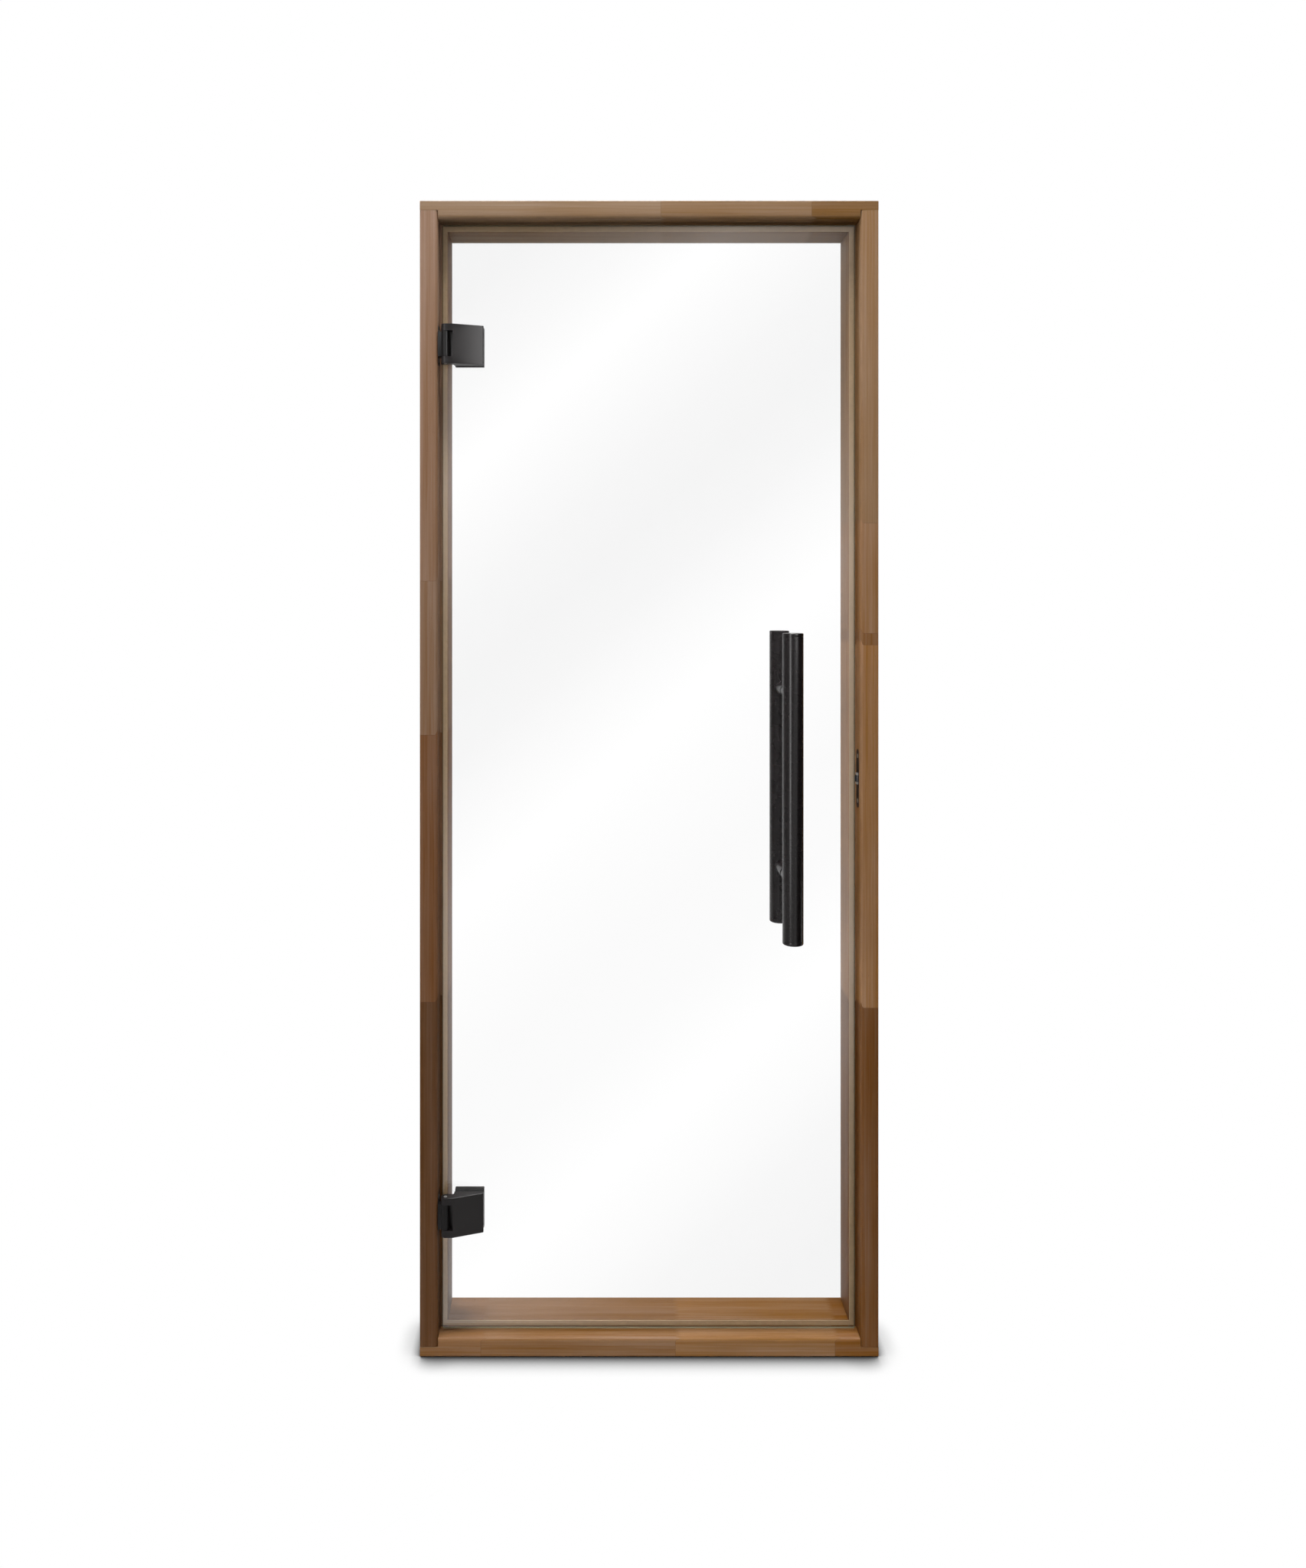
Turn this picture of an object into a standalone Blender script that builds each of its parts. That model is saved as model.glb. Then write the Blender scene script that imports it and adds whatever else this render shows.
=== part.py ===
"""Framed sauna door: a frameless glass leaf swings outward in a rebated wooden frame.

The front faces -Y, the hinges are on the -X side, and +Z is up. The origin is at the middle of the
sill's underside, half way through the frame's depth.
"""

import math

import bmesh
import bpy
from mathutils import Vector

MM = 0.001

# Frame timber: one rebated section serves for both jambs, the head and the sill.
FRAME_WIDTH = 790 * MM
FRAME_HEIGHT = 1990 * MM
FRAME_DEPTH = 92 * MM
FACE = 31 * MM
STOP = 14 * MM
REBATE_DEPTH = 32 * MM
ARRIS = 5 * MM
EASED_EDGE = 1.2 * MM
HOUSING = 16 * MM

# Glass leaf.
GLASS_THICKNESS = 8 * MM
GLASS_SETBACK = 17 * MM
GLASS_EDGE_GAP = 5.5 * MM
GLASS_CORNER = 3 * MM
GLASS_ARRIS = 0.7 * MM
GASKET = 1.5 * MM

# Hinges: distances from the pin's axis unless a name says otherwise.
HINGE_HEIGHT = 68 * MM
UPPER_HINGE_FROM_TOP = 247 * MM
LOWER_HINGE_FROM_BOTTOM = 242 * MM
AXIS_FROM_JAMB = 13 * MM
KNUCKLE_RADIUS = 7 * MM
PIN_RADIUS = 3 * MM
KNUCKLE_SLOT = 44 * MM
SLOT_END = 13.5 * MM
SLOT_BACK = 4 * MM
CRADLE_START = 5 * MM
BODY_START = 14 * MM
BODY_END = 64.5 * MM
TIP_PROUD = 7.6 * MM
NECK_FILLET = 3 * MM
TIP_CHAMFER = 3 * MM
BORDER_CHAMFER = 2 * MM
KNUCKLE_CHAMFER = 0.8 * MM
REAR_PLATE = 9 * MM
PLATE_CHAMFER = 0.8 * MM
FLANGE = 3 * MM
FLANGE_FRONT = 3.5 * MM
FLANGE_BACK = 29.5 * MM
FLANGE_CORNER = 4 * MM
ARM_FRONT = -3 * MM
CLAMP_SCREW_X = 34 * MM
CLAMP_SCREW_SPACING = 32 * MM
FLANGE_SCREW_Y = 17 * MM
FLANGE_SCREW_SPACING = 49 * MM

# Pull handle: two tubes, one each side of the glass.
HANDLE_X = 239 * MM
HANDLE_HEIGHT = 986 * MM
HANDLE_LENGTH = 522 * MM
HANDLE_RADIUS = 17.5 * MM
HANDLE_WALL = 1.5 * MM
HANDLE_STANDOFF = 62 * MM
CAP_THICKNESS = 6 * MM
CAP_CHAMFER = 1.5 * MM
CAP_SPIGOT = 8 * MM
POST_SPACING = 318 * MM
POST_RADIUS = 10 * MM
WASHER = 1 * MM
STUD_RADIUS = 4 * MM
STUD_REACH = 22 * MM

# Roller catch in the closing jamb.
CATCH_HEIGHT = 992 * MM
CATCH_LENGTH = 102 * MM
CATCH_WIDTH = 18 * MM
CATCH_PLATE = 2 * MM
CASE_LENGTH = 28 * MM
CASE_WALL = 1.5 * MM
SPRING_ROOM = 2.5 * MM
ROLLER_RADIUS = 5 * MM
ROLLER_LENGTH = 11 * MM
ROLLER_GAP = 1 * MM
ROLLER_TRAVEL = 4 * MM
AXLE_RADIUS = 1.5 * MM
PLUNGER_THICKNESS = 9 * MM
PLUNGER_LENGTH = 20 * MM
SHOULDER = 1.5 * MM
PLUNGER_DEPTH = 9.5 * MM
CATCH_SCREW_SPACING = 78 * MM

# Screws.
CLAMP_SCREW_RADIUS = 3 * MM
CLAMP_HEAD_RADIUS = 5 * MM
CLAMP_HEAD_HEIGHT = 6 * MM
CLAMP_SCREW_REACH = 9 * MM
HEX_SOCKET = 5 * MM
WOOD_SCREW_RADIUS = 2 * MM
WOOD_HEAD_RADIUS = 4 * MM
WOOD_HEAD_HEIGHT = 2.2 * MM
WOOD_SCREW_LENGTH = 22 * MM

# Fits: pieces that touch lie this far apart, and pieces that turn on each other run this free.
SEAT = 0.3 * MM
RUNNING = 0.5 * MM

ROUND_SIDES = 32

TIMBER = FACE + STOP
FRONT_Y = -FRAME_DEPTH / 2
JAMB_X = FRAME_WIDTH / 2 - FACE
GLASS_FRONT_Y = FRONT_Y + GLASS_SETBACK
GLASS_MID_Y = GLASS_FRONT_Y + GLASS_THICKNESS / 2
GLASS_BACK_Y = GLASS_FRONT_Y + GLASS_THICKNESS
GLASS_WIDTH = 2 * (JAMB_X - GLASS_EDGE_GAP)
GLASS_HEIGHT = FRAME_HEIGHT - 2 * (FACE + GLASS_EDGE_GAP)
AXIS_X = -JAMB_X + AXIS_FROM_JAMB
AXIS_Y = FRONT_Y
BODY_BACK = GLASS_SETBACK - GASKET
REAR_PLATE_Y = GLASS_SETBACK + GLASS_THICKNESS + GASKET
CATCH_X = JAMB_X
ROLLER_X = ROLLER_RADIUS + ROLLER_GAP - GLASS_EDGE_GAP
PLUNGER_BACK = CATCH_PLATE + RUNNING + PLUNGER_DEPTH
CASE_DEPTH = PLUNGER_BACK + ROLLER_TRAVEL + SPRING_ROOM + CASE_WALL
HINGE_HEIGHTS = {"upper": FRAME_HEIGHT - UPPER_HINGE_FROM_TOP, "lower": LOWER_HINGE_FROM_BOTTOM}


def clear_scene():
    for old in list(bpy.data.objects):
        bpy.data.objects.remove(old, do_unlink=True)


def principled(name, colour, roughness, metallic=0.0, alpha=1.0, transmission=0.0):
    made = bpy.data.materials.new(name)
    made.use_nodes = True
    shader = made.node_tree.nodes["Principled BSDF"]
    shader.inputs["Base Color"].default_value = (*colour, 1.0)
    shader.inputs["Roughness"].default_value = roughness
    shader.inputs["Metallic"].default_value = metallic
    shader.inputs["Alpha"].default_value = alpha
    shader.inputs["Transmission Weight"].default_value = transmission
    made.diffuse_color = (*colour, alpha)
    made.roughness = roughness
    made.metallic = metallic
    return made


def rounded(points, radii, steps=4):
    """The closed outline with an arc in place of each corner that has a radius."""
    outline = []
    for index, radius in enumerate(radii):
        corner = Vector(points[index])
        if radius <= 0:
            outline.append(tuple(corner))
            continue
        before = (Vector(points[index - 1]) - corner).normalized()
        after = (Vector(points[(index + 1) % len(points)]) - corner).normalized()
        half = before.angle(after) / 2
        centre = corner + (before + after).normalized() * (radius / math.sin(half))
        start = corner + before * (radius / math.tan(half)) - centre
        end = corner + after * (radius / math.tan(half)) - centre
        first = math.atan2(start.y, start.x)
        turn = math.atan2(start.x * end.y - start.y * end.x, start.dot(end))
        for step in range(steps + 1):
            angle = first + turn * step / steps
            outline.append((centre.x + radius * math.cos(angle), centre.y + radius * math.sin(angle)))
    return outline


def rectangle(low, high, radius=0.0):
    corners = [(low[0], low[1]), (high[0], low[1]), (high[0], high[1]), (low[0], high[1])]
    return rounded(corners, [radius] * 4)


def prism(outline, low, high, axis):
    """A solid with this outline, from low to high along the axis. The outline gives the other two coordinates."""
    shape = bmesh.new()
    ring = []
    for pair in outline:
        point = list(pair)
        point.insert(axis, low)
        ring.append(shape.verts.new(point))
    end = shape.faces.new(ring)
    pushed = bmesh.ops.extrude_face_region(shape, geom=[end])["geom"]
    distance = [0.0, 0.0, 0.0]
    distance[axis] = high - low
    moved = [item for item in pushed if isinstance(item, bmesh.types.BMVert)]
    bmesh.ops.translate(shape, verts=moved, vec=distance)
    bmesh.ops.recalc_face_normals(shape, faces=shape.faces)
    return shape


def box(low, high):
    return prism(rectangle(low[:2], high[:2]), low[2], high[2], 2)


def turned(profile, closed=False, sides=ROUND_SIDES):
    """A solid of revolution about Z from (radius, height) pairs. A closed profile makes a ring."""
    shape = bmesh.new()
    points = [shape.verts.new((radius, 0.0, height)) for radius, height in profile]
    pairs = list(zip(points, points[1:] + points[:1]))
    edges = [shape.edges.new(pair) for pair in (pairs if closed else pairs[:-1])]
    bmesh.ops.spin(
        shape,
        geom=points + edges,
        cent=(0, 0, 0),
        axis=(0, 0, 1),
        angle=2 * math.pi,
        steps=sides,
        use_merge=True,
    )
    bmesh.ops.remove_doubles(shape, verts=shape.verts, dist=1e-6)
    bmesh.ops.recalc_face_normals(shape, faces=shape.faces)
    return shape


def rod(radius, low, high, chamfer=0.0, sides=ROUND_SIDES):
    if chamfer <= 0:
        return turned([(0, low), (radius, low), (radius, high), (0, high)], sides=sides)
    rim = radius - chamfer
    profile = [(0, low), (rim, low), (radius, low + chamfer)]
    profile += [(radius, high - chamfer), (rim, high), (0, high)]
    return turned(profile, sides=sides)


def add(name, shape, material, location=(0, 0, 0), rotation=(0, 0, 0), parent=None):
    """Makes an object of the bmesh at a place given in world coordinates."""
    mesh = bpy.data.meshes.new(name)
    shape.to_mesh(mesh)
    shape.free()
    mesh.shade_smooth()
    mesh.set_sharp_from_angle(angle=math.radians(35))
    made = bpy.data.objects.new(name, mesh)
    bpy.context.scene.collection.objects.link(made)
    made.location = Vector(location) - (parent.location if parent else Vector())
    made.rotation_euler = rotation
    made.parent = parent
    if material:
        mesh.materials.append(material)
    return made


def combine(target, operation, shape, location=(0, 0, 0), rotation=(0, 0, 0)):
    """Adds a Boolean to the object, with a hidden helper that holds the bmesh."""
    helper = add(target.name + "_helper", shape, None, location, rotation)
    helper.hide_render = True
    helper.display_type = "WIRE"
    modifier = target.modifiers.new("Shape", "BOOLEAN")
    modifier.operation = operation
    modifier.solver = "EXACT"
    modifier.object = helper


def cut(target, shape, location=(0, 0, 0), rotation=(0, 0, 0)):
    combine(target, "DIFFERENCE", shape, location, rotation)


def chamfer(target, width, method="ANGLE"):
    """Chamfers the sharp edges, or with the WEIGHT method the weighted ones by that share of the width."""
    modifier = target.modifiers.new("Chamfer", "BEVEL")
    modifier.width = width
    modifier.segments = 1
    modifier.limit_method = method
    modifier.angle_limit = math.radians(35)


def add_pivot(name, location):
    pivot = bpy.data.objects.new(name, None)
    bpy.context.scene.collection.objects.link(pivot)
    pivot.location = location
    return pivot


def timber_section():
    """The frame's section as (distance from the outer face, distance from the front)."""
    corners = [(0, 0), (FACE, 0), (FACE, REBATE_DEPTH), (TIMBER, REBATE_DEPTH)]
    corners += [(TIMBER, FRAME_DEPTH), (0, FRAME_DEPTH)]
    radii = [EASED_EDGE, ARRIS, 0, EASED_EDGE, EASED_EDGE, EASED_EDGE]
    return rounded(corners, radii)


def add_jamb(name, side):
    """A jamb on the side given by the sign of X, its ends housed in the sill and the head."""
    section = []
    for inward, back in timber_section():
        section.append((side * (FRAME_WIDTH / 2 - inward), FRONT_Y + back))
    low = HOUSING + SEAT
    return add(name, prism(section, low, FRAME_HEIGHT - low, 2), stained_wood)


def add_cross_member(name, rotation, height):
    """The sill, or turned over the head: notched at both ends over the jambs' section."""
    section = []
    for inward, back in timber_section():
        section.append((FRONT_Y + back, inward))
    half = FRAME_WIDTH / 2
    member = add(name, prism(section, -half, half, 0), stained_wood, (0, 0, height), rotation)
    past = 10 * MM
    for side in (-1, 1):
        notch = []
        for inward, back in (
            (-past, -past),
            (FACE + SEAT, -past),
            (FACE + SEAT, REBATE_DEPTH - SEAT),
            (TIMBER + SEAT, REBATE_DEPTH - SEAT),
            (TIMBER + SEAT, FRAME_DEPTH + past),
            (-past, FRAME_DEPTH + past),
        ):
            notch.append((side * (half - inward), FRONT_Y + back))
        cut(member, prism(notch, HOUSING, TIMBER + past, 2), (0, 0, height), rotation)
    return member


def wood_screw(length):
    """A countersunk screw with its head's flat face at the origin and its shank down -Z."""
    tip = 2 * WOOD_SCREW_RADIUS
    profile = [(0, -length), (WOOD_SCREW_RADIUS, tip - length)]
    profile += [(WOOD_SCREW_RADIUS, -WOOD_HEAD_HEIGHT), (WOOD_HEAD_RADIUS, -0.2 * MM)]
    profile += [(WOOD_HEAD_RADIUS, 0), (0, 0)]
    return turned(profile, sides=24)


def screw_clearance(length):
    """The hole for a wood screw: its own shape with the seat gap all round, and open at the top."""
    wide = WOOD_HEAD_RADIUS + SEAT
    narrow = WOOD_SCREW_RADIUS + SEAT
    profile = [(0, -length - SEAT), (narrow, -length - SEAT), (narrow, -WOOD_HEAD_HEIGHT - SEAT)]
    profile += [(wide, -SEAT), (wide, 2 * MM), (0, 2 * MM)]
    return turned(profile, sides=24)


def cross_recess():
    """The driver's cross in a wood screw's head."""
    arm = 2.2 * MM
    web = 0.5 * MM
    outline = [(web, web), (arm, web), (arm, -web), (web, -web), (web, -arm), (-web, -arm)]
    outline += [(-web, -web), (-arm, -web), (-arm, web), (-web, web), (-web, arm), (web, arm)]
    return prism(outline, -1.4 * MM, 1 * MM, 2)


def add_wood_screw(name, location, rotation, length, holes_in):
    screw = add(name, wood_screw(length), bright_steel, location, rotation)
    cut(screw, cross_recess(), location, rotation)
    for carrier in holes_in:
        cut(carrier, screw_clearance(length), location, rotation)


def arc(radius, first, last, steps):
    """Points on a circle about the origin, from the first angle to the last in degrees."""
    points = []
    for step in range(steps + 1):
        angle = math.radians(first + (last - first) * step / steps)
        points.append((radius * math.cos(angle), radius * math.sin(angle)))
    return points


def front_body():
    """The hinge's wedge in front of the glass and its knuckle on a neck, as seen from above.

    The edges of the wedge's front face, its tip and the knuckle's ends are weighted for their chamfers.
    """
    tip = (BODY_END, GLASS_SETBACK - TIP_PROUD)
    corners = arc(KNUCKLE_RADIUS, 90, 270, 16)
    radii = [0] * len(corners)
    corners += [(SLOT_END, -KNUCKLE_RADIUS), tip, (BODY_END, BODY_BACK)]
    corners += [(BODY_START, BODY_BACK), (BODY_START, KNUCKLE_RADIUS)]
    radii += [0, 0, 0, 0, NECK_FILLET]
    shape = prism(rounded(corners, radii), -HINGE_HEIGHT / 2, HINGE_HEIGHT / 2, 2)
    weight = shape.edges.layers.float.new("bevel_weight_edge")
    close = 0.01 * MM
    for edge in shape.edges:
        one, other = (vertex.co for vertex in edge.verts)
        right = max(one.x, other.x)
        left = min(one.x, other.x)
        back = max(one.y, other.y)
        upright = abs(one.z - other.z) > close
        if upright and left > BODY_END - close and back < tip[1] + close:
            edge[weight] = 1.0
        elif not upright and left > SLOT_END - close and back < tip[1] + close:
            edge[weight] = BORDER_CHAMFER / TIP_CHAMFER
        elif not upright and right < SLOT_END + close and back < KNUCKLE_RADIUS + close:
            edge[weight] = KNUCKLE_CHAMFER / TIP_CHAMFER
    return shape


def frame_arm():
    """The arm from the flange to the middle knuckle, as seen from above."""
    last = math.degrees(math.asin(ARM_FRONT / KNUCKLE_RADIUS))
    outline = arc(KNUCKLE_RADIUS, 90, -180 - last, 22)
    root = SEAT - AXIS_FROM_JAMB
    inside = -AXIS_FROM_JAMB - FLANGE / 2
    outline += [(root, ARM_FRONT), (root, FLANGE_FRONT + SEAT)]
    outline += [(inside, FLANGE_FRONT + SEAT), (inside, KNUCKLE_RADIUS)]
    reach = KNUCKLE_SLOT / 2 - RUNNING
    return prism(outline, -reach, reach, 2)


def add_hinge(prefix, height, leaf):
    """Builds one hinge, cuts its seat in the jamb and its screw holes in the glass."""
    centre = Vector((AXIS_X, AXIS_Y, height))
    half = HINGE_HEIGHT / 2

    # The frame's half: a flange let into the jamb, and the middle knuckle on its arm.
    flange_outline = rectangle((FLANGE_FRONT, -half), (FLANGE_BACK, half), FLANGE_CORNER)
    back = -AXIS_FROM_JAMB - FLANGE
    flange = prism(flange_outline, back, -AXIS_FROM_JAMB, 0)
    frame_half = add(prefix + "_hinge_frame_leaf", flange, dark_metal, centre)
    combine(frame_half, "UNION", frame_arm(), centre)
    cut(frame_half, rod(PIN_RADIUS + SEAT, -half, half), centre)
    seat_low = (FLANGE_FRONT - SEAT, -half - SEAT)
    seat_high = (FLANGE_BACK + SEAT, half + SEAT)
    seat = prism(rectangle(seat_low, seat_high, FLANGE_CORNER), back - SEAT, 0, 0)
    cut(left_jamb, seat, centre)
    for word, sign in (("upper", 1), ("lower", -1)):
        offset = Vector((-AXIS_FROM_JAMB, FLANGE_SCREW_Y, sign * FLANGE_SCREW_SPACING / 2))
        name = prefix + "_hinge_" + word + "_flange_screw"
        turn = (0, math.pi / 2, 0)
        add_wood_screw(name, centre + offset, turn, WOOD_SCREW_LENGTH, (frame_half, left_jamb))
    pin = rod(PIN_RADIUS, -half, half, 0.4 * MM, 24)
    add(prefix + "_hinge_pin", pin, bright_steel, centre)

    # The leaf's half: wedge, gaskets and rear plate, drawn together through the glass.
    body = add(prefix + "_hinge_front_body", front_body(), dark_metal, centre, parent=leaf)
    chamfer(body, TIP_CHAMFER, "WEIGHT")
    past = 5 * MM
    slot_low = (-KNUCKLE_RADIUS - past, -KNUCKLE_RADIUS - past, -KNUCKLE_SLOT / 2)
    slot_high = (SLOT_END, SLOT_BACK, KNUCKLE_SLOT / 2)
    cut(body, box(slot_low, slot_high), centre)
    # The neck behind the slot stays, hollowed to clear the middle knuckle.
    cut(body, box(slot_low, (CRADLE_START, BODY_BACK + past, KNUCKLE_SLOT / 2)), centre)
    cut(body, rod(KNUCKLE_RADIUS + RUNNING, -KNUCKLE_SLOT / 2, KNUCKLE_SLOT / 2), centre)
    cut(body, rod(PIN_RADIUS + SEAT, -half - past, half + past), centre)
    plate_outline = rectangle((BODY_START, -half), (BODY_END, half))
    plate = prism(plate_outline, REAR_PLATE_Y + SEAT, REAR_PLATE_Y + REAR_PLATE, 1)
    rear_plate = add(prefix + "_hinge_rear_plate", plate, dark_metal, centre, parent=leaf)
    chamfer(rear_plate, PLATE_CHAMFER)
    inset = PLATE_CHAMFER
    gasket_outline = rectangle((BODY_START + inset, inset - half), (BODY_END - inset, half - inset))
    gaskets = []
    for word, near in (("front", BODY_BACK), ("rear", GLASS_SETBACK + GLASS_THICKNESS)):
        sheet = prism(gasket_outline, near + SEAT / 2, near + GASKET - SEAT / 2, 1)
        gaskets.append(add(prefix + "_hinge_" + word + "_gasket", sheet, black_rubber, centre, parent=leaf))
    for word, sign in (("upper", 1), ("lower", -1)):
        # The head is sunk in the rear plate, and the screw's own axis points back, along +Y.
        offset = Vector((CLAMP_SCREW_X, REAR_PLATE_Y + REAR_PLATE - SEAT, sign * CLAMP_SCREW_SPACING / 2))
        spot = centre + offset
        turn = (-math.pi / 2, 0, 0)
        length = REAR_PLATE - SEAT + GASKET * 2 + GLASS_THICKNESS + CLAMP_SCREW_REACH
        profile = [(0, -length), (CLAMP_SCREW_RADIUS, -length)]
        profile += [(CLAMP_SCREW_RADIUS, -CLAMP_HEAD_HEIGHT), (CLAMP_HEAD_RADIUS, -CLAMP_HEAD_HEIGHT)]
        profile += [(CLAMP_HEAD_RADIUS, -0.5 * MM), (CLAMP_HEAD_RADIUS - 0.5 * MM, 0), (0, 0)]
        name = prefix + "_hinge_" + word + "_clamp_screw"
        screw = add(name, turned(profile, sides=24), bright_steel, spot, turn, leaf)
        socket = rod(HEX_SOCKET / math.sqrt(3), -3 * MM, 1 * MM, sides=6)
        cut(screw, socket, spot, turn)
        shank_hole = CLAMP_SCREW_RADIUS + SEAT
        for holder in (body, rear_plate, *gaskets):
            cut(holder, rod(shank_hole, -length - SEAT, past, sides=24), spot, turn)
        head_hole = rod(CLAMP_HEAD_RADIUS + SEAT, -CLAMP_HEAD_HEIGHT - SEAT, past, sides=24)
        cut(rear_plate, head_hole, spot, turn)
        cut(glass_pane, rod(CLAMP_HEAD_RADIUS, -length, past, sides=24), spot, turn)


def add_handle_side(word, side, leaf):
    """One tube with its caps and posts. The side is -1 in front of the glass and 1 behind it."""
    surface = GLASS_FRONT_Y if side < 0 else GLASS_BACK_Y
    middle = Vector((HANDLE_X, surface + side * HANDLE_STANDOFF, HANDLE_HEIGHT))
    half = HANDLE_LENGTH / 2 - CAP_THICKNESS - SEAT
    bore = HANDLE_RADIUS - HANDLE_WALL
    profile = [(bore, -half), (HANDLE_RADIUS, -half), (HANDLE_RADIUS, half), (bore, half)]
    bar = add("handle_" + word + "_bar", turned(profile, closed=True), dark_metal, middle, parent=leaf)
    for place, sign in (("top", 1), ("bottom", -1)):
        rim = HANDLE_RADIUS - CAP_CHAMFER
        cap = [(0, -CAP_SPIGOT), (bore - SEAT, -CAP_SPIGOT), (bore - SEAT, 0), (HANDLE_RADIUS, 0)]
        cap += [(HANDLE_RADIUS, CAP_THICKNESS - CAP_CHAMFER), (rim, CAP_THICKNESS), (0, CAP_THICKNESS)]
        spot = middle + Vector((0, 0, sign * (HANDLE_LENGTH / 2 - CAP_THICKNESS)))
        turn = (0, 0, 0) if sign > 0 else (math.pi, 0, 0)
        add("handle_" + word + "_" + place + "_cap", turned(cap), dark_metal, spot, turn, leaf)
    for place, sign in (("upper", 1), ("lower", -1)):
        # Both the washer and the post are turned about an axis that points away from the glass.
        spot = Vector((HANDLE_X, surface, HANDLE_HEIGHT + sign * POST_SPACING / 2))
        turn = (-side * math.pi / 2, 0, 0)
        hole = STUD_RADIUS + SEAT
        ring = [(hole, SEAT), (POST_RADIUS, SEAT), (POST_RADIUS, WASHER), (hole, WASHER)]
        name = "handle_" + word + "_" + place + "_washer"
        add(name, turned(ring, closed=True), black_rubber, spot, turn, leaf)
        post = add(
            "handle_" + word + "_" + place + "_post",
            rod(POST_RADIUS, WASHER + SEAT, HANDLE_STANDOFF),
            dark_metal,
            spot,
            turn,
            leaf,
        )
        cut(post, rod(HANDLE_RADIUS + SEAT, -2 * HANDLE_RADIUS, 2 * HANDLE_RADIUS), (spot.x, middle.y, spot.z))
        cut(post, rod(hole, 0, STUD_REACH + SEAT), spot, turn)
    return bar


def add_studs(leaf):
    """The threaded studs that join the posts through the glass."""
    for place, sign in (("upper", 1), ("lower", -1)):
        spot = (HANDLE_X, GLASS_MID_Y, HANDLE_HEIGHT + sign * POST_SPACING / 2)
        turn = (math.pi / 2, 0, 0)
        reach = GLASS_THICKNESS / 2 + STUD_REACH
        stud = rod(STUD_RADIUS, -reach, reach, 0.6 * MM, 24)
        add("handle_" + place + "_stud", stud, bright_steel, spot, turn, leaf)
        cut(glass_pane, rod(STUD_RADIUS + 2 * MM, -reach, reach), spot, turn)


def add_catch():
    """A face plate let into the jamb, its case, and a sprung plunger that carries the roller."""
    centre = Vector((CATCH_X, GLASS_MID_Y, CATCH_HEIGHT))
    half = CATCH_LENGTH / 2
    wide = CATCH_WIDTH / 2
    end_radius = wide - SEAT
    case_half = PLUNGER_THICKNESS / 2 + RUNNING + CASE_WALL
    case_end = CASE_LENGTH / 2
    plate_outline = rectangle((-wide, -half), (wide, half), end_radius)
    plate = add("catch_face_plate", prism(plate_outline, 0, CATCH_PLATE, 0), dark_metal, centre)
    case = box((CATCH_PLATE / 2, -case_half, -case_end), (CASE_DEPTH, case_half, case_end))
    combine(plate, "UNION", case, centre)
    window = PLUNGER_LENGTH / 2 + SEAT
    inner = case_half - CASE_WALL
    chamber_end = PLUNGER_LENGTH / 2 + SHOULDER + RUNNING
    chamber = box((CATCH_PLATE, -inner, -chamber_end), (CASE_DEPTH - CASE_WALL, inner, chamber_end))
    cut(plate, chamber, centre)
    cut(plate, box((-CATCH_PLATE, -inner, -window), (CASE_DEPTH / 2, inner, window)), centre)

    plate_seat = rectangle((-wide - SEAT, -half - SEAT), (wide + SEAT, half + SEAT), wide)
    cut(right_jamb, prism(plate_seat, -TIMBER, CATCH_PLATE + SEAT, 0), centre)
    pocket_low = (-CATCH_PLATE, -case_half - SEAT, -case_end - SEAT)
    pocket_high = (CASE_DEPTH + SEAT, case_half + SEAT, case_end + SEAT)
    cut(right_jamb, box(pocket_low, pocket_high), centre)
    for word, sign in (("upper", 1), ("lower", -1)):
        spot = centre + Vector((0, 0, sign * CATCH_SCREW_SPACING / 2))
        turn = (0, -math.pi / 2, 0)
        add_wood_screw("catch_" + word + "_screw", spot, turn, WOOD_SCREW_LENGTH, (plate, right_jamb))

    slide = add_pivot("catch_slide", centre + Vector((ROLLER_X, 0, 0)))
    # The plunger from the side: two ears either side of the roller, and shoulders behind the plate.
    front = -(AXLE_RADIUS + SEAT + 1.2 * MM)
    rest = CATCH_PLATE + RUNNING - ROLLER_X
    back = PLUNGER_BACK - ROLLER_X
    floor = ROLLER_RADIUS + RUNNING
    ear = PLUNGER_LENGTH / 2
    cheek = ROLLER_LENGTH / 2 + SEAT
    wide_ear = ear + SHOULDER
    outline = [(front, cheek), (floor, cheek), (floor, -cheek), (front, -cheek)]
    outline += [(front, -ear), (rest, -ear), (rest, -wide_ear), (back, -wide_ear)]
    outline += [(back, wide_ear), (rest, wide_ear), (rest, ear), (front, ear)]
    thick = PLUNGER_THICKNESS / 2
    body = prism(outline, -thick, thick, 1)
    plunger = add("catch_plunger", body, bright_steel, slide.location, parent=slide)
    cut(plunger, rod(AXLE_RADIUS + SEAT, -2 * ear, 2 * ear, sides=16), slide.location)
    rim = 0.6 * MM
    long = ROLLER_LENGTH / 2
    profile = [(0, -ear), (AXLE_RADIUS, -ear), (AXLE_RADIUS, -long), (ROLLER_RADIUS - rim, -long)]
    profile += [(ROLLER_RADIUS, rim - long), (ROLLER_RADIUS, long - rim), (ROLLER_RADIUS - rim, long)]
    profile += [(AXLE_RADIUS, long), (AXLE_RADIUS, ear), (0, ear)]
    add("catch_roller", turned(profile, sides=24), dark_nylon, slide.location, parent=slide)


clear_scene()

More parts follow.
